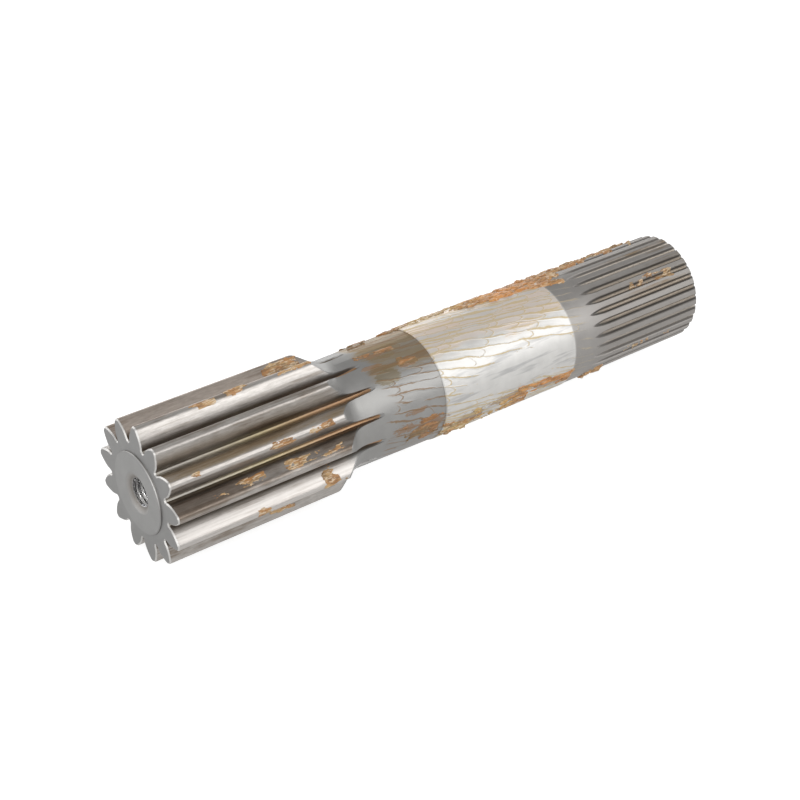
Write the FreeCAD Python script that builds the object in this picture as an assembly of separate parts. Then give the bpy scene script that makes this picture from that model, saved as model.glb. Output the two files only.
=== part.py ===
import FreeCAD, Part
import math
import os

# A machine shaft in one piece: a straight-toothed pinion, a waisted neck, a ground
# bearing seat and a splined end, turned and cut from one steel bar.
# The axis lies along +X and the pinion end is at X = 0. One pinion tooth points
# straight up (+Z), so the shaft lies on the two tooth tips below it.
# The origin is on the axis, in the raised face of the pinion end.

# Pinion teeth
tooth_count = 13
tooth_module = 4.0
pressure_angle = 30.0
tooth_space = 5.05
addendum = 4.0
dedendum = 4.5
root_fillet = 0.9
root_chords = 2
flank_arcs = 2
tooth_length = 80.8
tooth_bevel = 0.6
tip_round = 2.0
hob_radius = 38.0
hob_overtravel = 7.5
hob_leaving_angle = 40.0

# Raised face on the pinion end
boss_radius = 17.4
boss_height = 0.7
boss_edge_bevel = 0.3

# Cone behind the teeth, and the waisted neck
cone_angle = 38.0
shoulder_round = 2.5
waist_radius = 23.9
waist_fillet = 12.0
neck_length = 51.9
neck_end_radius = 24.6

# Ground bearing seat
journal_radius = 25.0
journal_length = 73.2
journal_edge = 0.3

# Splined end
spline_count = 30
spline_module = 1.6
spline_pressure_angle = 30.0
spline_radius = 24.7
spline_depth = 1.9
spline_gap_width = 1.9
spline_root_round = 0.45
spline_root_chords = 1
spline_plain_length = 11.9
spline_length = 65.4
spline_cutter_radius = 27.0
spline_leaving_angle = 30.0
spline_end_bevel = 1.3

# Centre holes in both ends
centre_hole_radius = 5.9
centre_hole_depth = 26.0
centre_mouth_radius = 8.8
centre_mouth_depth = 1.5
centre_point_angle = 118.0

# How far a cutter reaches past the surface that it cuts
cutter_overrun = 1.4
bevel_overrun = 0.4
tip_overrun = 0.03

# Stations along the axis and derived radii
pitch_radius = tooth_module * tooth_count / 2.0
tip_radius = pitch_radius + addendum
root_radius = pitch_radius - dedendum
tooth_face_x = boss_height
shoulder_x = tooth_face_x + tooth_length
journal_x = shoulder_x + neck_length
spline_x = journal_x + journal_length
spline_start_x = spline_x + spline_plain_length
end_x = spline_start_x + spline_length


def involute(angle):
    return math.tan(angle) - angle


def roll_angle(base, radius):
    # involute function at a radius, zero on and below the base circle
    if radius <= base:
        return 0.0
    return involute(math.acos(base / radius))


def section_point(x, radius, angle):
    # a point of a cross-section, with the angle counted from +Z
    return FreeCAD.Vector(x, radius * math.sin(angle), radius * math.cos(angle))


def line_edge(first, last):
    return Part.LineSegment(first, last).toShape()


def arc_edge(first, middle, last):
    return Part.Arc(first, middle, last).toShape()


def mirrored(point):
    return FreeCAD.Vector(point.x, -point.y, point.z)


def root_points(x, root, fillet, foot_radius, foot_angle, chords):
    # the fillet between the root circle and a flank's foot, as short chords
    fillet_centre = root + fillet
    centre_angle = foot_angle - math.asin(fillet / fillet_centre)
    centre = section_point(x, fillet_centre, centre_angle)
    low = section_point(x, root, centre_angle) - centre
    foot = section_point(x, foot_radius, foot_angle) - centre
    points = []
    for step in range(chords + 1):
        share = step / chords
        points.append(centre + (low * (1 - share) + foot * share).normalize() * fillet)
    return points


def tip_arc(x, base, half_gap, tip, rounding):
    # the arc that rounds a tooth tip: from the flank, tangent to it, to the tip's height
    centre_radius = tip - rounding
    centre_angle = half_gap + rounding / base + roll_angle(base, centre_radius)
    flank_radius = math.hypot(base, rounding + math.sqrt(centre_radius ** 2 - base ** 2))
    centre = section_point(x, centre_radius, centre_angle)
    first = section_point(x, flank_radius, half_gap + roll_angle(base, flank_radius))
    last = section_point(x, tip, centre_angle)
    middle = centre + (first + last - centre * 2).normalize() * rounding
    return flank_radius, centre_angle, (first, middle, last)


def gap_section(x, base, half_gap, root, fillet, tip, rounding, top, chords, flank_arcs):
    # outline of one tooth gap about +Z: root, fillets, involute flanks, round tips and a cap
    # half_gap is half the gap's angle on the base circle
    foot_radius = math.sqrt((root + fillet) ** 2 - fillet ** 2)
    foot_angle = half_gap + roll_angle(base, foot_radius)
    outline = root_points(x, root, fillet, foot_radius, foot_angle, chords)
    outline = [mirrored(point) for point in reversed(outline)] + outline
    edges = [line_edge(first, last) for first, last in zip(outline, outline[1:])]
    flank_top = top
    if rounding > 0:
        flank_top, tip_angle, tip_points = tip_arc(x, base, half_gap, tip, rounding)
    # each flank is a few arcs through three points of the involute, or one straight line
    flank = []
    pieces = max(2 * flank_arcs, 1)
    for step in range(pieces + 1):
        radius = foot_radius + (flank_top - foot_radius) * step / pieces
        flank.append(section_point(x, radius, half_gap + roll_angle(base, radius)))
    side = [flank[2 * arc:2 * arc + 3] for arc in range(flank_arcs)] or [flank]
    if rounding > 0:
        side.append(tip_points)
        side.append((tip_points[-1], section_point(x, top, tip_angle)))
    cap_start = side[-1][-1]
    cap = (cap_start, section_point(x, top, 0.0), mirrored(cap_start))
    back = [[mirrored(point) for point in reversed(points)] for points in reversed(side)]
    for points in side + [cap] + back:
        edges.append(arc_edge(*points) if len(points) == 3 else line_edge(*points))
    return Part.Wire(edges)


def turned(shape, angle):
    copy = shape.copy()
    copy.rotate(FreeCAD.Vector(0, 0, 0), FreeCAD.Vector(1, 0, 0), angle)
    return copy


def cutter_sweep(section, x, axis_height, angle):
    # the section swung about the cutter's own axis, where the cutter leaves the bar
    face = Part.Face(section)
    return face.revolve(FreeCAD.Vector(x, 0, axis_height), FreeCAD.Vector(0, 1, 0), angle)


def round_corner(before, corner, after, radius):
    # the two tangent points and the middle of an arc that rounds a corner
    towards_before = (before - corner).normalize()
    towards_after = (after - corner).normalize()
    half = towards_before.getAngle(towards_after) / 2.0
    reach = radius / math.tan(half)
    bisector = (towards_before + towards_after).normalize()
    centre = corner + bisector * (radius / math.sin(half))
    first = corner + towards_before * reach
    last = corner + towards_after * reach
    return first, centre - bisector * radius, last


def profile_point(x, radius):
    return FreeCAD.Vector(x, 0, radius)


def make_blank():
    # the turned bar, before any tooth is cut
    slope = math.tan(math.radians(cone_angle))
    waist_x = shoulder_x + (tip_radius - waist_radius) / slope
    shoulder = profile_point(shoulder_x, tip_radius)
    waist = profile_point(waist_x, waist_radius)
    neck_end = profile_point(journal_x, neck_end_radius)
    bevel_start = profile_point(tooth_face_x + tooth_bevel, tip_radius)
    shoulder_arc = round_corner(bevel_start, shoulder, waist, shoulder_round)
    waist_arc = round_corner(shoulder, waist, neck_end, waist_fillet)
    outline = [
        profile_point(0, 0),
        profile_point(0, boss_radius - boss_edge_bevel),
        profile_point(boss_edge_bevel, boss_radius),
        profile_point(tooth_face_x, boss_radius),
        profile_point(tooth_face_x, tip_radius - tooth_bevel),
        bevel_start,
        shoulder_arc[0],
    ]
    after_waist = [
        waist_arc[2],
        neck_end,
        profile_point(journal_x, journal_radius - journal_edge),
        profile_point(journal_x + journal_edge, journal_radius),
        profile_point(spline_x - journal_edge, journal_radius),
        profile_point(spline_x, journal_radius - journal_edge),
        profile_point(end_x - spline_end_bevel, spline_radius),
        profile_point(end_x, spline_radius - spline_end_bevel),
        profile_point(end_x, 0),
        profile_point(0, 0),
    ]
    edges = []
    for first, last in zip(outline, outline[1:]):
        edges.append(Part.LineSegment(first, last).toShape())
    edges.append(arc_edge(*shoulder_arc))
    edges.append(Part.LineSegment(shoulder_arc[2], waist_arc[0]).toShape())
    edges.append(arc_edge(*waist_arc))
    for first, last in zip(after_waist, after_waist[1:]):
        edges.append(Part.LineSegment(first, last).toShape())
    face = Part.Face(Part.Wire(edges))
    return face.revolve(FreeCAD.Vector(0, 0, 0), FreeCAD.Vector(1, 0, 0), 360)


def pinion_gap_section(x, spread):
    # spread widens the gap on all sides, for the bevel round the tooth ends
    pressure = math.radians(pressure_angle)
    base = pitch_radius * math.cos(pressure)
    half_gap = tooth_space / (2.0 * pitch_radius) - involute(pressure) + spread / base
    top = tip_radius + cutter_overrun
    root = root_radius - spread
    fillet = root_fillet + spread
    tip = tip_radius + tip_overrun - spread
    rounding = tip_round - spread
    return gap_section(
        x, base, half_gap, root, fillet, tip, rounding, top, root_chords, flank_arcs
    )


def pinion_cutters():
    # the hob cuts at full depth up to hob_x, then its own curve rises out of the cone
    hob_x = shoulder_x + hob_overtravel
    bevel_x = tooth_face_x + tooth_bevel
    outer = pinion_gap_section(tooth_face_x - bevel_overrun, tooth_bevel + bevel_overrun)
    inner = pinion_gap_section(bevel_x, 0.0)
    bevel = Part.makeLoft([outer, inner], True, True)
    groove = Part.Face(inner).extrude(FreeCAD.Vector(hob_x - bevel_x, 0, 0))
    axis_height = root_radius + hob_radius
    leaving = cutter_sweep(pinion_gap_section(hob_x, 0.0), hob_x, axis_height, -hob_leaving_angle)
    cutters = []
    for tooth in range(tooth_count):
        angle = 360.0 * (tooth + 0.5) / tooth_count
        for piece in (bevel, groove, leaving):
            cutters.append(turned(piece, angle))
    return cutters


def spline_cutters():
    radius = spline_module * spline_count / 2.0
    pressure = math.radians(spline_pressure_angle)
    base = radius * math.cos(pressure)
    half_gap = spline_gap_width / (2.0 * radius) - involute(pressure)
    root = spline_radius - spline_depth
    top = spline_radius + cutter_overrun / 2.0
    rise = math.sqrt(spline_cutter_radius ** 2 - (spline_cutter_radius - spline_depth) ** 2)
    full_x = spline_start_x + rise
    section = gap_section(
        full_x, base, half_gap, root, spline_root_round, top, 0.0, top, spline_root_chords, 0
    )
    groove = Part.Face(section).extrude(FreeCAD.Vector(end_x + cutter_overrun - full_x, 0, 0))
    leaving = cutter_sweep(section, full_x, root + spline_cutter_radius, spline_leaving_angle)
    cutters = []
    for tooth in range(spline_count):
        angle = 360.0 * (tooth + 0.5) / spline_count
        cutters.append(turned(groove, angle))
        cutters.append(turned(leaving, angle))
    return cutters


def centre_hole(face_x, direction):
    # countersunk mouth, drilled wall and drill point
    point = centre_hole_radius / math.tan(math.radians(centre_point_angle / 2.0))
    widen = (centre_mouth_radius - centre_hole_radius) / centre_mouth_depth
    outline = [
        profile_point(face_x - direction * bevel_overrun, 0),
        profile_point(face_x - direction * bevel_overrun, centre_mouth_radius + widen * bevel_overrun),
        profile_point(face_x + direction * centre_mouth_depth, centre_hole_radius),
        profile_point(face_x + direction * centre_hole_depth, centre_hole_radius),
        profile_point(face_x + direction * (centre_hole_depth + point), 0),
        profile_point(face_x - direction * bevel_overrun, 0),
    ]
    face = Part.Face(Part.makePolygon(outline))
    return face.revolve(FreeCAD.Vector(0, 0, 0), FreeCAD.Vector(1, 0, 0), 360)


shaft = make_blank()
shaft = shaft.cut(pinion_cutters())
shaft = shaft.cut(spline_cutters())
shaft = shaft.cut([centre_hole(0.0, 1.0), centre_hole(end_x, -1.0)])

os.makedirs("parts", exist_ok=True)
shaft.exportStep("parts/shaft.step")
print("shaft volume", round(shaft.Volume / 1000.0, 1), "cm3, solids", len(shaft.Solids), "valid", shaft.isValid())
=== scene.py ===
import bpy
import math
from mathutils import Euler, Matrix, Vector
from mathutils import noise as fields


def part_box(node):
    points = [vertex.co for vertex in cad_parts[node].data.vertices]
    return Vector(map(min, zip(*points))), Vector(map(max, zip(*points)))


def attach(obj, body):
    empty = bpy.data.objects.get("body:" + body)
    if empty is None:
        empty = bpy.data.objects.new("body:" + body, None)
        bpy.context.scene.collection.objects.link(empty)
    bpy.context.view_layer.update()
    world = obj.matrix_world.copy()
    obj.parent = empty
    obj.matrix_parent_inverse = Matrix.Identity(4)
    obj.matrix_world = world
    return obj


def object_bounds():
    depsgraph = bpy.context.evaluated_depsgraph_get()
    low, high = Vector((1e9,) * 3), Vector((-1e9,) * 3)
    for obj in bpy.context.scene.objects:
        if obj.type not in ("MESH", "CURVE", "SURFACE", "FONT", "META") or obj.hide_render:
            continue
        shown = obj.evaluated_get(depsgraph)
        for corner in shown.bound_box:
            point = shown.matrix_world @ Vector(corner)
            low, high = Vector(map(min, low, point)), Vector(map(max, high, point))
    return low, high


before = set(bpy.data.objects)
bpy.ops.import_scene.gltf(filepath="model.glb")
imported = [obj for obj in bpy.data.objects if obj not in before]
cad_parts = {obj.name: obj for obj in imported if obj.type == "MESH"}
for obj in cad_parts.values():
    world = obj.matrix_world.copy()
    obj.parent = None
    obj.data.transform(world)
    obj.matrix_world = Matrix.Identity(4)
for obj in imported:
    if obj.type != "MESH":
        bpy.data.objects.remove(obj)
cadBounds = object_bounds()

scene = bpy.context.scene
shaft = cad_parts["shaft"]
print("frame loaded")


# Marks of the shaft in millimetres: places along it, and radii

marks = {
    "length": round(cadBounds[1][0] * 1000, 1),
    "tip": round(cadBounds[1][2] * 1000, 1),
    "boss": 17.4,              # raised round face
    "toothFace": 0.7,
    "bevelEnd": 1.3,
    "root": 21.5,              # bottom of a tooth gap
    "cutterRise": 89.0,        # where the hob starts to leave a gap
    "cutterRadius": 38.0,
    "coneStart": 81.5,
    "coneFall": 0.781,         # per millimetre along
    "waist": 23.9,
    "teethEnd": 84.0,
    "neckStart": 100.0,
    "gapsEnd": 103.0,
    "seatStart": 133.4,
    "seatEnd": 206.6,
    "splineStart": 214.0,
    "splineFull": 232.0,
    "splineTip": 24.7,
    "skin": 25.0,              # radius at which the skin is unrolled
    "hole": 5.9,
}


# Camera

cameraSetup = {
    "place": (-0.24154, -0.47141, 0.37215),
    "turned": (57.761, -0.672, -37.68),      # degrees about X, Y and Z
    "lens": 74.55,
    "sensor": 36.0,
}


def addCamera(setup):
    turned = [math.radians(angle) for angle in setup["turned"]]
    bpy.ops.object.camera_add(location=setup["place"], rotation=turned)
    camera = bpy.context.object
    camera.name = "photoCamera"
    camera.data.lens = setup["lens"]
    camera.data.sensor_width = setup["sensor"]
    scene.camera = camera


addCamera(cameraSetup)
print("camera set")


# Node helpers

def addNode(tree, kind, **settings):
    made = tree.nodes.new(kind)
    for name, value in settings.items():
        setattr(made, name, value)
    return made


def feed(tree, socket, value):
    # a socket gets a link from another socket, or a plain value
    if isinstance(value, bpy.types.NodeSocket):
        tree.links.new(value, socket)
    else:
        socket.default_value = value


def mathStep(tree, operation, *values):
    step = addNode(tree, "ShaderNodeMath", operation=operation)
    for socket, value in zip(step.inputs, values):
        feed(tree, socket, value)
    return step.outputs[0]


def vectorStep(tree, operation, *values):
    step = addNode(tree, "ShaderNodeVectorMath", operation=operation)
    for socket, value in zip(step.inputs, values):
        feed(tree, socket, value)
    return step.outputs


def product(tree, *masks):
    result = masks[0]
    for mask in masks[1:]:
        result = mathStep(tree, "MULTIPLY", result, mask)
    return result


def opposite(tree, mask):
    return mathStep(tree, "SUBTRACT", 1.0, mask)


def swayed(tree, value, wave, reach):
    # the value pushed to and fro by a noise, by half the reach each way
    return mathStep(tree, "MULTIPLY_ADD", mathStep(tree, "SUBTRACT", wave, 0.5), reach, value)


def ramped(tree, value, low, high, first=0.0, last=1.0):
    # the value taken from low..high to first..last, eased at both ends
    step = addNode(tree, "ShaderNodeMapRange", interpolation_type="SMOOTHSTEP")
    step.clamp = True
    for name, given in (("Value", value), ("From Min", low), ("From Max", high),
                        ("To Min", first), ("To Max", last)):
        feed(tree, step.inputs[name], given)
    return step.outputs["Result"]


def fading(tree, value, low, high):
    return ramped(tree, value, low, high, 1.0, 0.0)


def joined(tree, *parts):
    step = addNode(tree, "ShaderNodeCombineXYZ")
    for socket, value in zip(step.inputs, parts):
        feed(tree, socket, value)
    return step.outputs[0]


def parted(tree, vector):
    step = addNode(tree, "ShaderNodeSeparateXYZ")
    feed(tree, step.inputs[0], vector)
    return step.outputs


def noise(tree, vector, scales, detail, roughness):
    step = addNode(tree, "ShaderNodeTexNoise", noise_dimensions="3D")
    feed(tree, step.inputs["Vector"], vectorStep(tree, "MULTIPLY", vector, scales)[0])
    for name, given in (("Scale", 1.0), ("Detail", detail), ("Roughness", roughness)):
        feed(tree, step.inputs[name], given)
    return step.outputs["Fac"]


def mixed(tree, share, first, second, blend="MIX"):
    step = addNode(tree, "ShaderNodeMix", data_type="RGBA", blend_type=blend)
    feed(tree, step.inputs["Factor"], share)
    feed(tree, step.inputs[6], first)        # the colour sockets A and B
    feed(tree, step.inputs[7], second)
    return step.outputs[2]


def stops(tree, value, entries):
    # a colour ramp from (place, colour) pairs
    step = addNode(tree, "ShaderNodeValToRGB")
    ramp = step.color_ramp
    while len(ramp.elements) < len(entries):
        ramp.elements.new(0.5)
    for element, (place, color) in zip(ramp.elements, entries):
        element.position = place
        element.color = color
    feed(tree, step.inputs[0], value)
    return step.outputs["Color"]


def greyStops(tree, value, entries):
    return stops(tree, value, [(place, (grey, grey, grey, 1)) for place, grey in entries])


def newMaterial(name):
    material = bpy.data.materials.new(name)
    material.use_nodes = True
    return material, material.node_tree, material.node_tree.nodes["Principled BSDF"]


def addBump(tree, surface, height, distance):
    bump = addNode(tree, "ShaderNodeBump")
    bump.inputs["Strength"].default_value = 1.0
    bump.inputs["Distance"].default_value = distance
    feed(tree, bump.inputs["Height"], height)
    feed(tree, surface.inputs["Normal"], bump.outputs["Normal"])


def newGroup(name, takes, gives):
    group = bpy.data.node_groups.new(name, "ShaderNodeTree")
    for socketName, kind, default in takes:
        socket = group.interface.new_socket(socketName, in_out="INPUT", socket_type=kind)
        if default is not None:
            socket.default_value = default
    for socketName, kind in gives:
        group.interface.new_socket(socketName, in_out="OUTPUT", socket_type=kind)
    inside = group.nodes.new("NodeGroupInput")
    outside = group.nodes.new("NodeGroupOutput")
    return group, inside.outputs, outside.inputs


def useGroup(tree, group, **given):
    made = addNode(tree, "ShaderNodeGroup", node_tree=group)
    for name, value in given.items():
        feed(tree, made.inputs[name], value)
    return made.outputs


# Studio: floor, world and lamps

studio = {
    "floorSize": 6.0,
    "floorMiddle": 0.14,
    "floorColor": (0.5, 0.5, 0.5, 1),
    "floorRoughness": 0.9,
    "floorSeen": 0.8,          # glow that the camera sees
    "floorMirrored": 0.5,      # glow that the steel mirrors
    "worldStrength": 0.6,
    "softboxes": {
        "softboxRight": {"place": (0.70, -0.75, 0.52), "aim": (0.14, 0, 0),
                         "size": (0.9, 0.55), "power": 3.6},
        "softboxLeft": {"place": (-0.80, -0.42, 0.30), "aim": (0.05, 0, 0),
                        "size": (0.5, 0.4), "power": 2.4},
        "backLeft": {"place": (-0.65, 0.95, 0.30), "aim": (0.02, 0, 0),
                     "size": (1.0, 0.45), "power": 3.4},
        "backRight": {"place": (0.95, 1.0, 0.16), "aim": (0.20, 0, 0),
                      "size": (1.3, 0.30), "power": 3.2},
    },
    # a narrow beam through the mouth of the centre hole, on to its far wall
    "holeSpot": {"place": (-0.222, -0.157, 0.283), "aim": (0.0056, 0.0026, -0.0053),
                 "power": 36.0, "angle": 0.9, "blend": 0.6, "radius": 0.004},
}


def addFloor(values):
    bpy.ops.object.select_all(action="DESELECT")
    low = min(corner[2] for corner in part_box("shaft"))
    bpy.ops.mesh.primitive_plane_add(size=values["floorSize"], location=(values["floorMiddle"], 0, low))
    floor = bpy.context.object
    floor.name = "studioFloor"
    material, tree, surface = newMaterial("paleFloor")
    surface.inputs["Base Color"].default_value = values["floorColor"]
    surface.inputs["Roughness"].default_value = values["floorRoughness"]
    surface.inputs["Specular IOR Level"].default_value = 0.0
    surface.inputs["Emission Color"].default_value = (1, 1, 1, 1)
    rays = addNode(tree, "ShaderNodeLightPath")
    seen = product(tree, rays.outputs["Is Camera Ray"], values["floorSeen"])
    mirrored = product(tree, rays.outputs["Is Glossy Ray"], values["floorMirrored"])
    feed(tree, surface.inputs["Emission Strength"], mathStep(tree, "MAXIMUM", seen, mirrored))
    floor.data.materials.append(material)


def addWorld(values):
    # white where the camera sees it, and softer as a light
    world = bpy.data.worlds.new("studioWorld")
    scene.world = world
    world.use_nodes = True
    tree = world.node_tree
    background = tree.nodes["Background"]
    background.inputs["Color"].default_value = (1, 1, 1, 1)
    rays = addNode(tree, "ShaderNodeLightPath")
    strength = mathStep(tree, "MAXIMUM", rays.outputs["Is Camera Ray"], values["worldStrength"])
    feed(tree, background.inputs["Strength"], strength)


def addLamp(kind, name, values):
    place, aim = Vector(values["place"]), Vector(values["aim"])
    bpy.ops.object.light_add(type=kind, location=place)
    lamp = bpy.context.object
    lamp.name = name
    lamp.data.energy = values["power"]
    lamp.rotation_euler = (aim - place).to_track_quat("-Z", "Y").to_euler()
    return lamp.data


def addSoftbox(name, values):
    light = addLamp("AREA", name, values)
    light.shape = "RECTANGLE"
    light.size, light.size_y = values["size"]


def addSpot(name, values):
    light = addLamp("SPOT", name, values)
    light.spot_size = math.radians(values["angle"])
    light.spot_blend = values["blend"]
    light.shadow_soft_size = values["radius"]


addFloor(studio)
addWorld(studio)
for name, values in studio["softboxes"].items():
    addSoftbox(name, values)
addSpot("holeSpot", studio["holeSpot"])
scene.view_settings.view_transform = "Standard"
print("studio set")


# Places on the shaft: millimetres along it, degrees round it from the top towards the
# camera, millimetres out from its axis, and the skin unrolled into a flat sheet

def shaftPlaces():
    group, given, out = newGroup(
        "shaftPlaces",
        [("Position", "NodeSocketVector", None)],
        [("Along", "NodeSocketFloat"), ("Turn", "NodeSocketFloat"),
         ("Out", "NodeSocketFloat"), ("Sheet", "NodeSocketVector")],
    )
    x, y, z = parted(group, given["Position"])
    along = product(group, x, 1000.0)
    radians = mathStep(group, "ARCTAN2", product(group, y, -1.0), z)
    across = vectorStep(group, "LENGTH", joined(group, 0.0, y, z))["Value"]
    feed(group, out["Along"], along)
    feed(group, out["Turn"], mathStep(group, "DEGREES", radians))
    feed(group, out["Out"], product(group, across, 1000.0))
    feed(group, out["Sheet"], joined(group, along, product(group, radians, marks["skin"]), 0.0))
    return group


# A soft band: 1 between two values, fading over an edge

def softBand():
    group, given, out = newGroup(
        "softBand",
        [("Value", "NodeSocketFloat", 0.0), ("From", "NodeSocketFloat", 0.0),
         ("To", "NodeSocketFloat", 1.0), ("Edge", "NodeSocketFloat", 0.1)],
        [("Mask", "NodeSocketFloat")],
    )
    value, edge = given["Value"], given["Edge"]
    rise = ramped(group, value, mathStep(group, "SUBTRACT", given["From"], edge),
                  mathStep(group, "ADD", given["From"], edge))
    fall = fading(group, value, mathStep(group, "SUBTRACT", given["To"], edge),
                  mathStep(group, "ADD", given["To"], edge))
    feed(group, out["Mask"], product(group, rise, fall))
    return group


# A patch with a torn edge, placed on the unrolled sheet

def tornPatch():
    group, given, out = newGroup(
        "tornPatch",
        [("Sheet", "NodeSocketVector", None), ("Centre", "NodeSocketVector", (0, 0, 0)),
         ("Half Size", "NodeSocketVector", (5, 5, 1)), ("Tear", "NodeSocketFloat", 0.5)],
        [("Mask", "NodeSocketFloat")],
    )
    away = vectorStep(group, "SUBTRACT", given["Sheet"], given["Centre"])[0]
    share = vectorStep(group, "DIVIDE", away, given["Half Size"])[0]
    distance = vectorStep(group, "LENGTH", share)["Value"]
    rough = noise(group, given["Sheet"], (0.315, 0.81, 0.9), 4.0, 0.65)
    torn = swayed(group, distance, rough, product(group, given["Tear"], 4.0))
    feed(group, out["Mask"], fading(group, torn, 0.85, 1.0))
    return group


# Cracks of the dried wax: long ones that lean slowly round the shaft, and arcs between them

def nearestEdge(tree, share, size):
    # millimetres from a place inside a cell, given as a share of it, to its nearer end
    return product(tree, mathStep(tree, "MINIMUM", share, opposite(tree, share)), size)


def waxCracks():
    group, given, out = newGroup(
        "waxCracks",
        [("Sheet", "NodeSocketVector", None), ("Spacing", "NodeSocketFloat", 3.8),
         ("Length", "NodeSocketFloat", 24.0), ("Width", "NodeSocketFloat", 0.36),
         ("Lean", "NodeSocketFloat", 0.19), ("Wander", "NodeSocketFloat", 5.0)],
        [("Crack", "NodeSocketFloat"), ("Lip", "NodeSocketFloat"), ("Tone", "NodeSocketFloat")],
    )
    sheet = given["Sheet"]
    x, y, _ = parted(group, sheet)
    slow = noise(group, sheet, (0.018, 0.06, 1.0), 1.0, 0.5)
    quick = noise(group, sheet, (0.11, 0.3, 1.0), 2.0, 0.5)
    shiver = noise(group, sheet, (0.7, 1.1, 1.0), 2.0, 0.6)

    # the long cracks are the borders of rows that lean and wander
    leaning = mathStep(group, "SUBTRACT", y, product(group, x, given["Lean"]))
    for wave, reach in ((slow, given["Wander"]), (quick, 2.2), (shiver, 0.5)):
        leaning = swayed(group, leaning, wave, reach)
    rows = mathStep(group, "DIVIDE", leaning, given["Spacing"])
    row = mathStep(group, "FLOOR", rows)
    inRow = mathStep(group, "FRACT", rows)
    longWay = nearestEdge(group, inRow, given["Spacing"])

    # the arcs bulge along the shaft, and start elsewhere in each row
    chance = addNode(group, "ShaderNodeTexWhiteNoise", noise_dimensions="1D")
    feed(group, chance.inputs["W"], row)
    hollow = mathStep(group, "POWER", mathStep(group, "MULTIPLY_ADD", inRow, 2.0, -0.9), 2.0)
    shifted = x
    for wave, reach in ((hollow, 3.2), (slow, 8.0), (shiver, 0.6)):
        shifted = mathStep(group, "MULTIPLY_ADD", wave, reach, shifted)
    flakes = mathStep(group, "MULTIPLY_ADD", chance.outputs["Value"], 7.0,
                      mathStep(group, "DIVIDE", shifted, given["Length"]))
    crossWay = nearestEdge(group, mathStep(group, "FRACT", flakes), given["Length"])

    # each flake between them has its own tone
    tone = addNode(group, "ShaderNodeTexWhiteNoise", noise_dimensions="2D")
    feed(group, tone.inputs["Vector"], joined(group, row, mathStep(group, "FLOOR", flakes), 0.0))
    feed(group, out["Tone"], tone.outputs["Value"])

    # some stretches of a crack are closed, and its width changes on the way
    border = product(group, mathStep(group, "ROUND", rows), 7.3)
    openness = noise(group, joined(group, product(group, x, 0.05), border, 0.0), (1.0, 1.0, 1.0), 2.0, 0.5)
    longWidth = product(group, given["Width"], ramped(group, openness, 0.32, 0.62, 0.25, 1.5))
    crossWidth = product(group, given["Width"], ramped(group, slow, 0.38, 0.52, 0.25, 1.1))
    lines = []
    lips = []
    for way, width in ((longWay, longWidth), (crossWay, crossWidth)):
        lines.append(fading(group, way, product(group, width, 0.35), width))
        lips.append(fading(group, way, product(group, width, 0.5), product(group, width, 2.4)))
    feed(group, out["Crack"], mathStep(group, "MAXIMUM", *lines))
    feed(group, out["Lip"], mathStep(group, "MAXIMUM", *lips))
    return group


placesGroup = shaftPlaces()
bandGroup = softBand()
patchGroup = tornPatch()
cracksGroup = waxCracks()


def between(tree, value, low, high, edge):
    return useGroup(tree, bandGroup, Value=value, From=low, To=high, Edge=edge)["Mask"]


def patched(tree, sheet, centre, halfSize, tear):
    given = {"Sheet": sheet, "Centre": (*centre, 0.0), "Half Size": (*halfSize, 1.0), "Tear": tear}
    return useGroup(tree, patchGroup, **given)["Mask"]


def washed(tree, color, mask, share, tint):
    # another colour laid over the first where the mask is, at a share of its strength
    return mixed(tree, product(tree, mask, share), color, tint)


# Steel of the shaft: plain metal zone by zone, with what cutting, handling and oil left on it, and painted
# highlights and painted shade

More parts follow.
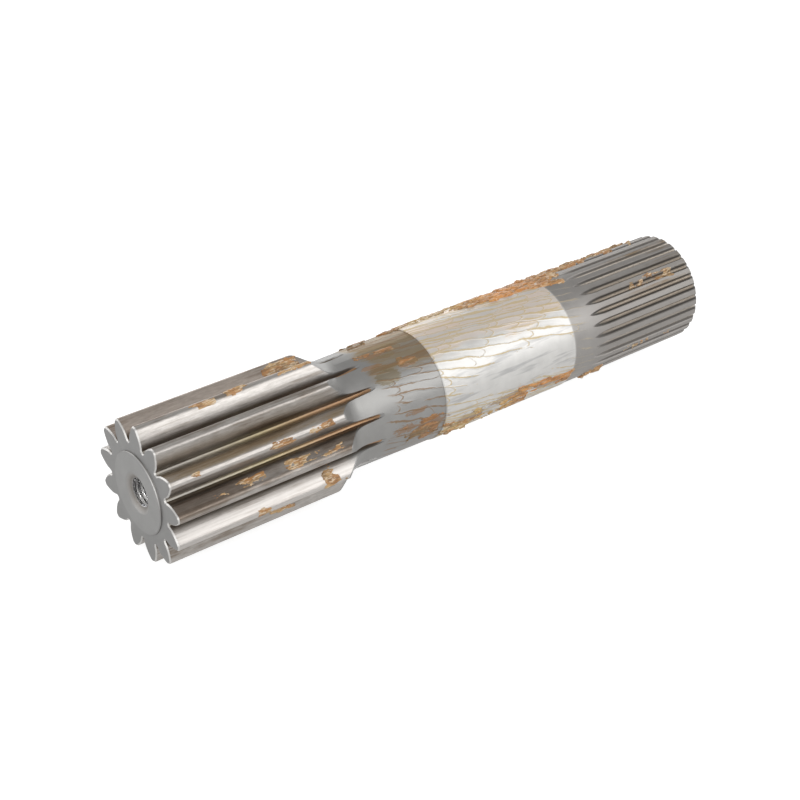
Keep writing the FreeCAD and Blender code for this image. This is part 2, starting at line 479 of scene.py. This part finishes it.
steel = {
    "faceColor": (0.34, 0.337, 0.33, 1),
    "toothColor": (0.46, 0.435, 0.41, 1),
    "neckColor": (0.34, 0.335, 0.325, 1),
    "seatColor": (0.675, 0.665, 0.645, 1),
    "splineColor": (0.36, 0.345, 0.33, 1),
    "sharpEdge": 0.0006,           # half the fade between two zones, as shares of the length
    "softEdge": 0.006,
    "stainColor": (0.20, 0.155, 0.115, 1),
    "brownedColor": (0.17, 0.13, 0.10, 1),
    "yellowedColor": (0.37, 0.275, 0.165, 1),
    "warmedColor": (1.0, 0.92, 0.86, 1),
    # painted highlight colour, for the land that faces the camera and for two wiped flanks
    "landHighlightColor": (0.66, 0.63, 0.60, 1),
    "rootShadeColor": (0.16, 0.12, 0.09, 1),
    "rootColors": ((0.05, (0.42, 0.40, 0.36, 1)), (0.17, (0.44, 0.38, 0.24, 1)),
                   (0.26, (0.42, 0.28, 0.17, 1)), (0.35, (0.38, 0.23, 0.13, 1))),
    "toothFaceShadeColor": (0.295, 0.292, 0.286, 1),
    "bevelHighlightColor": (0.58, 0.57, 0.555, 1),
    "ringShadeColor": (0.26, 0.255, 0.25, 1),
    "mouthShadeColor": (0.24, 0.225, 0.21, 1),
    "holeColor": (0.34, 0.335, 0.33, 1),
    "holeLitColor": (0.75, 0.76, 0.80, 1),
    "splineTipColor": (0.35, 0.33, 0.31, 1),
    "splineOilColor": (0.22, 0.145, 0.07, 1),
    "grooveShadeColor": (0.08, 0.072, 0.065, 1),
    "grooveFloorSheenColor": (0.60, 0.54, 0.47, 1),
    # degrees round the shaft, for what differs from tooth to tooth
    "warmedTurn": (-60.0, -1.0),
    "wipedLitTurns": ((3.0, 15.0), (101.0, 112.0)),
    "yellowedTurn": (43.5, 53.5),
    "landTurn": (53.8, 60.5),
    "brownedTurn": (71.5, 82.5),
    "smoothTurn": (97.0, 112.0),
    "oiledTurn": (-5.0, 52.0),
    # scale along and across, detail and roughness of each noise
    "waves": {
        "lengthwise": ((14.0, 560.0, 560.0), 4.0, 0.6),
        "smears": ((30.0, 110.0, 110.0), 4.0, 0.6),
        "longStreaks": ((38.0, 330.0, 330.0), 3.0, 0.6),
        "turningMarks": ((2600.0, 60.0, 60.0), 3.0, 0.7),
        "mottle": ((160.0, 160.0, 160.0), 5.0, 0.6),
        "grit": ((240.0, 1500.0, 1500.0), 3.0, 0.7),
    },
    "mottleShades": ((0.3, 0.8), (0.7, 1.15)),
    "gritShades": ((0.36, (0.74, 0.73, 0.71, 1)), (0.60, (1.12, 1.12, 1.12, 1))),
    # roughness at shares of the length: face, teeth, neck, seat and splines
    "roughness": ((0.003, 0.50), (0.005, 0.43), (0.28, 0.43), (0.34, 0.38), (0.469, 0.38),
                  (0.471, 0.42), (0.729, 0.42), (0.76, 0.44), (0.81, 0.50)),
    "grainDepth": 0.004,
    "turningDepth": 0.003,
    "bump": 0.001,
}


def zoneColor(tree, values, share):
    zones = ((values["faceColor"], 1.0, values["sharpEdge"]),
             (values["toothColor"], marks["teethEnd"], values["softEdge"]),
             (values["neckColor"], marks["seatStart"], values["sharpEdge"]),
             (values["seatColor"], marks["seatEnd"], values["sharpEdge"]),
             (values["splineColor"], marks["length"], 0.0))
    entries = []
    for (color, end, fade), (nextColor, *_) in zip(zones, zones[1:]):
        place = end / marks["length"]
        entries += [(place - fade, color), (place + fade, nextColor)]
    return stops(tree, share, entries)


def turnedSkin(tree, values, places):
    # the turned cone and waist behind the teeth, and the cut flanks that reach into them
    along, outward = places["Along"], places["Out"]
    cone = mathStep(tree, "MULTIPLY_ADD", mathStep(tree, "SUBTRACT", along, marks["coneStart"]),
                    -marks["coneFall"], marks["tip"])
    skin = mathStep(tree, "SUBTRACT", outward, mathStep(tree, "MAXIMUM", cone, marks["waist"]))
    start = marks["coneStart"] - 1.9
    turned = product(tree, ramped(tree, skin, -0.55, -0.35), ramped(tree, along, start, start + 1.0))
    flank = product(tree, between(tree, along, 1.0, marks["gapsEnd"], 0.15), opposite(tree, turned))
    return turned, flank


def toothColors(tree, values, places, waves, flank, color):
    along, turn, outward = places["Along"], places["Turn"], places["Out"]
    smears, lengthwise = waves["smears"], waves["lengthwise"]

    # brown streaks in lines along all the flanks
    stain = product(tree, ramped(tree, smears, 0.42, 0.62), ramped(tree, lengthwise, 0.40, 0.58), flank)
    color = washed(tree, color, stain, 0.75, values["stainColor"])

    # oil left on two of the teeth that face the camera, two flanks wiped clean and painted lighter as a
    # painted highlight, and one side warmer
    browned = product(tree, between(tree, turn, *values["brownedTurn"], 1.5),
                      ramped(tree, smears, 0.30, 0.62), flank)
    yellowed = product(tree, between(tree, turn, *values["yellowedTurn"], 1.0),
                       ramped(tree, smears, 0.30, 0.60), flank)
    color = washed(tree, color, browned, 0.75, values["brownedColor"])
    color = washed(tree, color, yellowed, 0.7, values["yellowedColor"])
    # painted highlight: two flanks wiped clean of stain and painted lighter on their upper part
    wipedAndLit = mathStep(tree, "MAXIMUM", *(between(tree, turn, *turns, 1.0) for turns in values["wipedLitTurns"]))
    streaks = ramped(tree, lengthwise, 0.62, 0.40, 0.3, 0.75)
    wipedAndLit = product(tree, wipedAndLit, ramped(tree, outward, 22.0, 24.0), flank, streaks)
    color = mixed(tree, wipedAndLit, color, values["landHighlightColor"])
    warmed = product(tree, between(tree, turn, *values["warmedTurn"], 2.0), flank)
    color = mixed(tree, warmed, color, values["warmedColor"], "MULTIPLY")

    # root of a gap: a thin oily line between two sides darkened brown as painted shade, also where the
    # cutter rises
    gone = mathStep(tree, "MAXIMUM", mathStep(tree, "SUBTRACT", along, marks["cutterRise"]), 0.0)
    floor = mathStep(tree, "MULTIPLY_ADD", mathStep(tree, "POWER", gone, 2.0),
                     0.5 / marks["cutterRadius"], marks["root"])
    depth = mathStep(tree, "SUBTRACT", outward, floor)
    # painted shade: flanks darkened brown towards the root of each gap
    rootShade = product(tree, fading(tree, depth, 0.6, 3.3), flank)
    color = washed(tree, color, rootShade, 0.6, values["rootShadeColor"])
    share = mathStep(tree, "DIVIDE", along, marks["length"])
    rootLine = product(tree, fading(tree, depth, 0.16, 0.42), flank)
    color = mixed(tree, rootLine, color, stops(tree, share, values["rootColors"]))

    # painted shade: tooth faces painted a little darker than the raised one, and a painted highlight on the
    # bevel round them
    face, boss = marks["toothFace"], marks["boss"]
    toothFace = product(tree, ramped(tree, outward, boss, boss + 0.2),
                        fading(tree, along, face + 0.06, face + 0.12))
    color = mixed(tree, toothFace, color, values["toothFaceShadeColor"])
    bevel = product(tree, between(tree, along, face + 0.12, marks["bevelEnd"] + 0.06, 0.04),
                    ramped(tree, outward, boss + 0.1, boss + 0.6))
    color = mixed(tree, bevel, color, values["bevelHighlightColor"])

    # painted highlight: the land of the tooth that faces the camera is painted bright, in stretches
    land = product(tree, between(tree, turn, *values["landTurn"], 0.8), ramped(tree, outward, 28.8, 29.4),
                   ramped(tree, smears, 0.36, 0.52), flank)
    return washed(tree, color, land, 0.5, values["landHighlightColor"])


def splineColors(tree, values, places, waves, color):
    # dull tips, painted shade on the groove sides, a painted highlight on the groove floor and oil near the
    # end
    along, turn, outward = places["Along"], places["Turn"], places["Out"]
    length, tip = marks["length"], marks["splineTip"]
    splines = ramped(tree, along, marks["splineStart"], marks["splineFull"])
    grooves = product(tree, splines, fading(tree, along, length - 0.9, length - 0.4))
    streaks = ramped(tree, waves["lengthwise"], 0.42, 0.58)
    tips = product(tree, splines, mathStep(tree, "MULTIPLY_ADD", streaks, 0.6, 0.4))
    color = mixed(tree, tips, color, values["splineTipColor"])
    oiled = product(tree, grooves, between(tree, turn, *values["oiledTurn"], 8.0),
                    ramped(tree, along, marks["splineFull"], 262.0),
                    ramped(tree, waves["smears"], 0.38, 0.56), streaks)
    color = washed(tree, color, oiled, 0.8, values["splineOilColor"])
    # painted shade on the sides of the grooves
    side = product(tree, grooves, fading(tree, outward, tip - 0.55, tip - 0.3))
    color = washed(tree, color, side, 0.75, values["grooveShadeColor"])
    # painted highlight on the groove floor, fading on the lower grooves
    floorSheen = product(tree, grooves, fading(tree, outward, tip - 1.5, tip - 1.1))
    light = ramped(tree, turn, 72.0, 100.0, 0.75, 0.3)
    return washed(tree, color, floorSheen, light, values["grooveFloorSheenColor"])


def holeColors(tree, values, places, color):
    # centre hole with painted light on its far wall, painted shade round its mouth, and the edge of the
    # raised face in painted shade with a painted highlight
    along, turn, outward = places["Along"], places["Turn"], places["Out"]
    boss, face, hole = marks["boss"], marks["toothFace"], marks["hole"]
    # painted shade in a thin ring at the foot of the raised face, and a painted highlight on its upper
    # right edge
    ring = product(tree, between(tree, outward, boss - 0.4, boss + 0.3, 0.12),
                   fading(tree, along, face + 0.2, face + 0.3))
    edge = mixed(tree, between(tree, turn, 15.0, 75.0, 15.0), values["ringShadeColor"], values["bevelHighlightColor"])
    color = washed(tree, color, ring, 0.6, edge)
    # painted shade round the mouth of the centre hole
    mouth = product(tree, fading(tree, outward, hole + 0.3, hole + 2.9), ramped(tree, along, 0.0, 0.1),
                    fading(tree, along, 5.0, 6.0))
    color = mixed(tree, mouth, color, values["mouthShadeColor"])
    # painted light: the far wall of the hole painted bright on one side, plain on the other
    wall = mixed(tree, between(tree, turn, 70.0, 200.0, 30.0), values["holeColor"], values["holeLitColor"])
    inHole = product(tree, fading(tree, outward, hole + 0.2, hole + 0.5), ramped(tree, along, 1.3, 1.6))
    return mixed(tree, inHole, color, wall)


# Wax that lies flat on the steel: films, flat crusts and the cracks through them

waxFilm = {
    "neckColor": (0.30, 0.208, 0.088, 1),
    "seatColor": (0.82, 0.69, 0.59, 1),
    "lowStreakColor": (0.34, 0.34, 0.345, 1),
    "oliveColor": (0.22, 0.17, 0.085, 1),
    "crustColor": (0.30, 0.15, 0.055, 1),
    "neckCrackColor": (0.24, 0.14, 0.06, 1),
    "seatCrackColor": (0.60, 0.46, 0.23, 1),
    "dense": {"Spacing": 2.7, "Length": 17.0, "Width": 0.40, "Wander": 6.0, "Lean": 0.14},
    # patches on the unrolled skin: centre and half size in millimetres, and how torn
    "olivePatch": ((110.5, 16.0), (6.5, 4.0), 0.3),
    "barePatch": ((178.0, 34.0), (38.0, 8.5), 0.25),
    "crustPatches": (
        ((122.0, 12.5), (5.0, 2.6), 0.3), ((112.0, 3.5), (6.0, 1.4), 0.5),
        ((106.0, 9.0), (5.0, 1.2), 0.5), ((118.5, 34.5), (5.0, 1.2), 0.7),
        ((125.0, 43.0), (9.0, 3.2), 0.7), ((113.0, 41.0), (6.0, 2.2), 0.8),
        ((147.0, 50.0), (9.0, 4.0), 0.6), ((172.0, 46.5), (16.0, 2.0), 0.7),
        ((195.0, 48.5), (12.0, 2.4), 0.5),
    ),
    "lipHeight": 0.05,
    "crustHeight": 0.06,
}


def waxFilms(tree, values, places, waves, color):
    along, turn, sheet = places["Along"], places["Turn"], places["Sheet"]
    wandering = swayed(tree, along, waves["smears"], 26.0)
    tilting = swayed(tree, turn, waves["smears"], 50.0)
    neck = between(tree, along, marks["neckStart"], marks["seatStart"], 0.15)
    seat = between(tree, along, marks["seatStart"], marks["seatEnd"], 0.15)
    upper = between(tree, tilting, -110.0, 36.0, 6.0)
    lower = ramped(tree, tilting, 90.0, 100.0)
    plain = useGroup(tree, cracksGroup, Sheet=sheet)
    dense = useGroup(tree, cracksGroup, Sheet=sheet, **values["dense"])

    # films on the upper half, flake by flake, streaked on the neck, and darker grey streaks lower down on
    # the seat
    tone = mathStep(tree, "MULTIPLY_ADD", mathStep(tree, "ADD", plain["Tone"], dense["Tone"]), 0.55, -0.08)
    neckFilm = product(tree, neck, upper, ramped(tree, wandering, 102.0, 107.0))
    seatFilm = product(tree, seat, upper)
    neckTone = mathStep(tree, "MULTIPLY_ADD", tone, 0.6, 0.3)
    color = washed(tree, color, neckFilm, neckTone, values["neckColor"])
    color = washed(tree, color, seatFilm, tone, values["seatColor"])
    streaked = product(tree, neckFilm, ramped(tree, waves["lengthwise"], 0.50, 0.60),
                       ramped(tree, waves["longStreaks"], 0.42, 0.52))
    color = washed(tree, color, streaked, 0.55, values["neckCrackColor"])
    # darker grey streaks on the lower part of the seat
    longStreaks = product(tree, seat, ramped(tree, turn, 45.0, 60.0), ramped(tree, waves["longStreaks"], 0.50, 0.66))
    color = washed(tree, color, longStreaks, 0.5, values["lowStreakColor"])

    color = washed(tree, color, patched(tree, sheet, *values["olivePatch"]), 0.6, values["oliveColor"])
    crust = patched(tree, sheet, *values["crustPatches"][0])
    for patch in values["crustPatches"][1:]:
        crust = mathStep(tree, "MAXIMUM", crust, patched(tree, sheet, *patch))
    color = washed(tree, color, crust, 0.6, values["crustColor"])

    # the cracks thin out on the neck and end on the plain band before the splines
    crowded = product(tree, mathStep(tree, "MAXIMUM", upper, lower),
                      between(tree, wandering, 108.0, 205.0, 4.0),
                      mathStep(tree, "MULTIPLY_ADD", neck, -0.6, 1.0))
    bare = patched(tree, sheet, *values["barePatch"])
    broken = mathStep(tree, "MAXIMUM", seat, ramped(tree, waves["longStreaks"], 0.38, 0.48))
    waxed = product(tree, between(tree, wandering, 106.0, 216.0, 3.0), opposite(tree, bare), broken)
    crack, lip = (
        product(tree, waxed, mathStep(tree, "MAXIMUM", plain[part], product(tree, dense[part], crowded)))
        for part in ("Crack", "Lip")
    )
    crackColor = mixed(tree, ramped(tree, along, marks["seatStart"] - 0.4, marks["seatStart"] + 0.4),
                       values["neckCrackColor"], values["seatCrackColor"])
    strength = ramped(tree, along, marks["seatEnd"] - 0.2, marks["seatEnd"] + 0.2, 0.8, 0.35)
    color = washed(tree, color, crack, strength, crackColor)

    # how much of the surface is wax, and how far it stands out
    film = product(tree, mathStep(tree, "MAXIMUM", neckFilm, seatFilm), 0.3)
    wax = mathStep(tree, "MAXIMUM", mathStep(tree, "MAXIMUM", crack, product(tree, crust, 0.7)), film)
    flatCrust = product(tree, crust, values["crustHeight"])
    relief = mathStep(tree, "MULTIPLY_ADD", lip, values["lipHeight"], flatCrust)
    return color, wax, relief


def steelMaterial(values):
    material, tree, surface = newMaterial("shaftSteel")
    position = addNode(tree, "ShaderNodeTexCoord").outputs["Object"]
    places = useGroup(tree, placesGroup, Position=position)
    share = mathStep(tree, "DIVIDE", places["Along"], marks["length"])
    waves = {name: noise(tree, position, *wave) for name, wave in values["waves"].items()}

    turned, flank = turnedSkin(tree, values, places)
    color = zoneColor(tree, values, share)
    beforeSeat = between(tree, places["Along"], 0.0, marks["seatStart"], 0.15)
    cut = mixed(tree, beforeSeat, color, values["neckColor"])
    color = mixed(tree, turned, color, cut)
    color = toothColors(tree, values, places, waves, flank, color)
    color = splineColors(tree, values, places, waves, color)
    color = holeColors(tree, values, places, color)

    # uneven shades everywhere, and grit on the flanks that weren't wiped smooth
    color = mixed(tree, 0.35, color, greyStops(tree, waves["mottle"], values["mottleShades"]), "MULTIPLY")
    smooth = between(tree, places["Turn"], *values["smoothTurn"], 2.0)
    gritty = product(tree, flank, mathStep(tree, "MULTIPLY_ADD", smooth, -0.35, 0.5))
    color = mixed(tree, gritty, color, stops(tree, waves["grit"], values["gritShades"]), "MULTIPLY")
    color, wax, relief = waxFilms(tree, waxFilm, places, waves, color)

    feed(tree, surface.inputs["Base Color"], color)
    feed(tree, surface.inputs["Metallic"], mathStep(tree, "MULTIPLY_ADD", wax, -0.75, 1.0))
    roughness = greyStops(tree, share, values["roughness"])
    roughness = mathStep(tree, "MULTIPLY_ADD", turned, 0.08, roughness)
    feed(tree, surface.inputs["Roughness"], swayed(tree, roughness, waves["mottle"], 0.12))

    # relief: streaks on the flanks, turning marks behind them, and the raised lips of cracks
    grain = product(tree, waves["lengthwise"], flank, values["grainDepth"])
    rings = product(tree, waves["turningMarks"], opposite(tree, flank), values["turningDepth"])
    height = mathStep(tree, "ADD", mathStep(tree, "ADD", grain, rings), relief)
    addBump(tree, surface, height, values["bump"])
    return material


shaft.data.materials.clear()
shaft.data.materials.append(steelMaterial(steel))
print("steel dressed")


# Thread in the centre hole of the pinion end: one ridge wound along the wall

holeThread = {
    "start": 0.0022,
    "pitch": 0.00175,
    "turns": 11,
    "steps": 40,
    "wall": 0.0061,
    "crest": 0.0052,
    "foot": 0.48,                  # half the ridge's foot as a share of the pitch
    "shadedColor": (0.16, 0.157, 0.153, 1),
    "shineColors": ((0.38, (0.60, 0.60, 0.61, 1)), (0.55, (0.95, 0.95, 0.97, 1))),
    "shadedTurn": (-110.0, 60.0),
    "litDepth": (4.5, 8.0),
    "greaseAndGlint": ((420.0, 420.0, 420.0), 4.0, 0.6),
    "metallic": 0.2,
    "bump": 0.00012,
}


def threadMaterial(values):
    material, tree, surface = newMaterial("threadSteel")
    position = addNode(tree, "ShaderNodeTexCoord").outputs["Object"]
    places = useGroup(tree, placesGroup, Position=position)
    greaseAndGlint = noise(tree, position, *values["greaseAndGlint"])
    # painted light: the thread is painted shiny where the far wall is lit, and painted dark on the shaded
    # side
    lit = product(tree, ramped(tree, places["Along"], *values["litDepth"]),
                  opposite(tree, between(tree, places["Turn"], *values["shadedTurn"], 30.0)))
    shine = stops(tree, greaseAndGlint, values["shineColors"])
    feed(tree, surface.inputs["Base Color"], mixed(tree, lit, values["shadedColor"], shine))
    feed(tree, surface.inputs["Roughness"], ramped(tree, greaseAndGlint, 0.3, 0.7, 0.16, 0.34))
    surface.inputs["Metallic"].default_value = values["metallic"]
    addBump(tree, surface, greaseAndGlint, values["bump"])
    return material


def addThread(values):
    # a three-cornered profile above the axis, wound along it by a screw
    half = values["pitch"] * values["foot"]
    profile = ((half, values["wall"]), (0, values["crest"]), (-half, values["wall"]))
    bpy.ops.object.select_all(action="DESELECT")
    bpy.ops.mesh.primitive_circle_add(vertices=3, fill_type="NOTHING", location=(0, 0, 0))
    thread = bpy.context.object
    thread.name = "holeThread"
    for vertex, (x, z) in zip(thread.data.vertices, profile):
        vertex.co = (values["start"] + x, 0, z)
    screw = thread.modifiers.new("wound", "SCREW")
    screw.axis = "X"
    screw.screw_offset = values["pitch"]
    screw.iterations = values["turns"]
    screw.steps = values["steps"]
    screw.render_steps = values["steps"]
    bpy.ops.object.modifier_apply(modifier=screw.name)
    bpy.ops.object.mode_set(mode="EDIT")
    bpy.ops.mesh.select_all(action="SELECT")
    bpy.ops.mesh.fill_holes(sides=4)
    bpy.ops.mesh.select_all(action="SELECT")
    bpy.ops.mesh.normals_make_consistent(inside=False)
    bpy.ops.object.mode_set(mode="OBJECT")
    thread.data.materials.append(threadMaterial(values))
    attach(thread, "root")


addThread(holeThread)
print("thread wound")


# Thick wax: torn crusts pressed on to the steel

wax = {
    "cell": 0.0004,                # spacing of a crust's own points
    "sunk": 0.00045,               # how deep it lies where it is torn away
    "skin": 0.0004,
    "above": 0.02,                 # where a flat sheet starts before it is pressed down
    "fade": 0.3,                   # soft border, as a share of the shorter side
    "wideWave": (90, 240),
    "fineWave": (220, 700),
    "fineTear": 0.12,              # how much the fine wave moves the torn edges
    "borderLoss": 0.7,
    "tearEdge": 0.08,
    "thickness": {"even": 0.6, "fine": 0.8, "edge": 0.5},
    "seedStep": 3.7,
    "crease": 50,                  # degrees
    # colours at shares of the shaft's length
    "tints": ((0.28, (0.60, 0.39, 0.19, 1)), (0.36, (0.24, 0.155, 0.07, 1)),
              (0.465, (0.25, 0.15, 0.06, 1)), (0.475, (0.60, 0.45, 0.22, 1)),
              (0.58, (0.62, 0.40, 0.15, 1)), (0.66, (0.78, 0.32, 0.075, 1)),
              (0.76, (0.54, 0.29, 0.11, 1)), (0.86, (0.50, 0.34, 0.18, 1))),
    "burnt": (0.46, 0.20, 0.06, 1),
    "shadow": (0.15, 0.08, 0.035, 1),
    "pale": (0.86, 0.72, 0.52, 1),
    "blots": ((90.0, 300.0, 300.0), 3.0, 0.6),
    "clumps": ((180.0, 700.0, 700.0), 4.0, 0.6),
    "grains": ((320.0, 1250.0, 1250.0), 3.0, 0.6),
    "coat": 0.1,
    "bump": 0.0002,
}

# each crust: millimetres along and degrees round, length and width in millimetres, share
# covered and thickness; "slew" is its own turn on the skin, and a crust that faces another
# way than straight out has the radius it lies at
crusts = {
    "waxSeatTop": {"along": 172, "turn": -28, "size": (86, 14), "cover": 0.64, "thick": 0.5},
    "waxSeatOrange": {"along": 192, "turn": -12, "size": (62, 15), "cover": 0.74, "thick": 0.7, "slew": -8},
    "waxNeckTop": {"along": 119, "turn": -30, "size": (32, 16), "cover": 0.52, "thick": 0.6},
    "waxSeatLow": {"along": 190, "turn": 110, "size": (38, 11), "cover": 0.62, "thick": 0.5, "slew": -6},
    "waxSeatLowEdge": {"along": 158, "turn": 118, "size": (54, 15), "cover": 0.54, "thick": 0.6},
    "waxSeatLowLeft": {"along": 143, "turn": 128, "size": (18, 12), "cover": 0.58, "thick": 1.0},
    "waxNeckLow": {"along": 121, "turn": 104, "size": (28, 18), "cover": 0.52, "thick": 0.45},
    "waxNeckPatch": {"along": 122.5, "turn": 26, "size": (12, 7), "cover": 0.60, "thick": 0.35, "slew": -5},
    "waxNeckFilm": {"along": 112, "turn": 5, "size": (22, 5), "cover": 0.46, "thick": 0.25, "slew": -6},
    "waxToothTop": {"along": 74, "turn": -21, "size": (20, 6), "cover": 0.52, "thick": 0.7},
    "waxToothLand": {"along": 74, "turn": -1, "size": (18, 5), "cover": 0.58, "thick": 0.5,
                     "facing": 2, "out": 30},
    "waxToothMiddle": {"along": 47, "turn": 1, "size": (13, 4.4), "cover": 0.62, "thick": 0.5,
                       "facing": 5, "out": 30},
    "waxToothLeft": {"along": 26, "turn": 2, "size": (24, 5), "cover": 0.42, "thick": 0.3,
                     "facing": 10, "out": 30},
    "waxToothCream": {"along": 42, "turn": 109, "size": (12, 6), "cover": 0.50, "thick": 0.3,
                      "facing": 80, "out": 30},
    "waxToothAmber": {"along": 75, "turn": 104, "size": (15, 12), "cover": 0.64, "thick": 0.5,
                      "facing": 74, "out": 29},
    "waxToothLow": {"along": 60, "turn": 126, "size": (46, 12), "cover": 0.50, "thick": 0.9,
                    "facing": 110, "out": 29},
    "waxLand": {"along": 44, "turn": 56, "size": (78, 6), "cover": 0.42, "thick": 0.2},
    "waxFlank": {"along": 62, "turn": 78, "size": (38, 8), "cover": 0.50, "thick": 0.2,
                 "facing": 30, "out": 27},
    "waxFlankLeft": {"along": 24, "turn": 78, "size": (40, 8), "cover": 0.40, "thick": 0.2,
                     "facing": 30, "out": 27},
    "waxSpline": {"along": 260, "turn": 40, "size": (30, 8), "cover": 0.52, "thick": 0.45, "slew": -3},
    "waxSplineNeck": {"along": 219, "turn": -28, "size": (36, 15), "cover": 0.68, "thick": 1.0},
    "waxSplineTop": {"along": 250, "turn": -30, "size": (50, 14), "cover": 0.56, "thick": 1.0},
    "waxSplineLow": {"along": 256, "turn": 112, "size": (40, 14), "cover": 0.38, "thick": 0.4, "slew": 4},
    "waxSplineEdge": {"along": 224, "turn": 134, "size": (16, 9), "cover": 0.56, "thick": 1.1},
}


def waxMaterial(values):
    material, tree, surface = newMaterial("driedWax")
    position = addNode(tree, "ShaderNodeTexCoord").outputs["Object"]
    along = useGroup(tree, placesGroup, Position=position)["Along"]
    blots, clumps, grains = (noise(tree, position, *values[name]) for name in ("blots", "clumps", "grains"))
    tint = stops(tree, mathStep(tree, "DIVIDE", along, marks["length"]), values["tints"])
    color = mixed(tree, ramped(tree, blots, 0.46, 0.58, 0.0, 0.75), tint, values["burnt"])
    color = mixed(tree, ramped(tree, clumps, 0.40, 0.52, 0.55, 0.0), color, values["shadow"])

    # cream specks, fewer on the neck and on the orange stretch
    onNeck = between(tree, along, 98.0, marks["seatStart"], 1.0)
    onOrange = between(tree, along, 160.0, 212.0, 4.0)
    cream = mathStep(tree, "MULTIPLY_ADD", onNeck, -0.55, 0.7)
    cream = mathStep(tree, "MULTIPLY_ADD", onOrange, -0.35, cream)
    color = washed(tree, color, ramped(tree, grains, 0.52, 0.62), cream, values["pale"])
    feed(tree, surface.inputs["Base Color"], color)
    feed(tree, surface.inputs["Roughness"], ramped(tree, grains, 0.3, 0.7, 0.4, 0.6))
    surface.inputs["Coat Weight"].default_value = values["coat"]
    addBump(tree, surface, mathStep(tree, "ADD", clumps, grains), values["bump"])
    return material


def eased(value):
    value = min(max(value, 0.0), 1.0)
    return value * value * (3.0 - 2.0 * value)


def waxHeight(place, inside, seed, values, crust):
    # torn islands that stand out of the steel, with thicker edges; the rest lies under it
    wideX, wideY = values["wideWave"]
    fineX, fineY = values["fineWave"]
    wide = fields.fractal(Vector((place.x * wideX, place.y * wideY, seed)), 0.9, 2.1, 5)
    fine = fields.fractal(Vector((place.x * fineX, place.y * fineY, seed)), 0.8, 2.0, 3)
    value = 0.5 + 0.5 * wide + values["fineTear"] * fine - values["borderLoss"] * (1.0 - inside)
    island = eased((value - 1.0 + crust["cover"]) / values["tearEdge"] + 0.5)
    edge = 4.0 * island * (1.0 - island)
    shares = values["thickness"]
    thick = crust["thick"] * 0.001 * (shares["even"] + shares["fine"] * fine + shares["edge"] * edge)
    return island * (values["sunk"] + thick) - values["sunk"]


def pressedSheet(name, values, crust, facing, outwards):
    # a flat grid turned towards its place, then pressed straight down on to the steel
    turned = math.radians(crust["turn"])
    out = crust.get("out", marks["skin"])
    middle = Vector((crust["along"], -math.sin(turned) * out, math.cos(turned) * out)) * 0.001
    length, width = (side * 0.001 for side in crust["size"])
    columns, rows = (round(side / values["cell"]) for side in (length, width))
    bpy.ops.object.select_all(action="DESELECT")
    bpy.ops.mesh.primitive_grid_add(x_subdivisions=columns, y_subdivisions=rows, size=1.0)
    sheet = bpy.context.object
    sheet.name = name
    sheet.scale = (length, width, 1.0)
    bpy.ops.object.transform_apply(location=False, rotation=False, scale=True)
    flat = [vertex.co.copy() for vertex in sheet.data.vertices]
    slewed = Euler((0, 0, math.radians(crust.get("slew", 0)))).to_matrix()
    sheet.location = middle + outwards * values["above"]
    sheet.rotation_euler = (Euler((facing, 0, 0)).to_matrix() @ slewed).to_euler()
    pressed = sheet.modifiers.new("pressed", "SHRINKWRAP")
    pressed.target = shaft
    pressed.wrap_method = "PROJECT"
    pressed.use_project_z = True
    pressed.use_negative_direction = True
    pressed.use_positive_direction = False
    bpy.ops.object.modifier_apply(modifier=pressed.name)
    bpy.ops.object.transform_apply(location=True, rotation=True, scale=True)
    return sheet, flat


def addCrust(name, seed, values, crust, material):
    facing = math.radians(crust.get("facing", crust["turn"]))
    outwards = Vector((0, -math.sin(facing), math.cos(facing)))
    sheet, flat = pressedSheet(name, values, crust, facing, outwards)
    length, width = (side * 0.001 for side in crust["size"])
    fade = min(length, width) * values["fade"]
    for vertex, place in zip(sheet.data.vertices, flat):
        inside = min((length / 2 - abs(place.x)) / fade, (width / 2 - abs(place.y)) / fade, 1.0)
        vertex.co += outwards * waxHeight(place, inside, seed, values, crust)
    body = sheet.modifiers.new("body", "SOLIDIFY")
    body.thickness = values["skin"]
    body.offset = -1.0
    bpy.ops.object.modifier_apply(modifier=body.name)
    bpy.ops.object.shade_smooth_by_angle(angle=math.radians(values["crease"]))
    sheet.data.materials.append(material)
    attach(sheet, "root")


driedWax = waxMaterial(wax)
for order, (name, crust) in enumerate(crusts.items()):
    addCrust(name, wax["seedStep"] * order, wax, crust, driedWax)
print("wax laid")
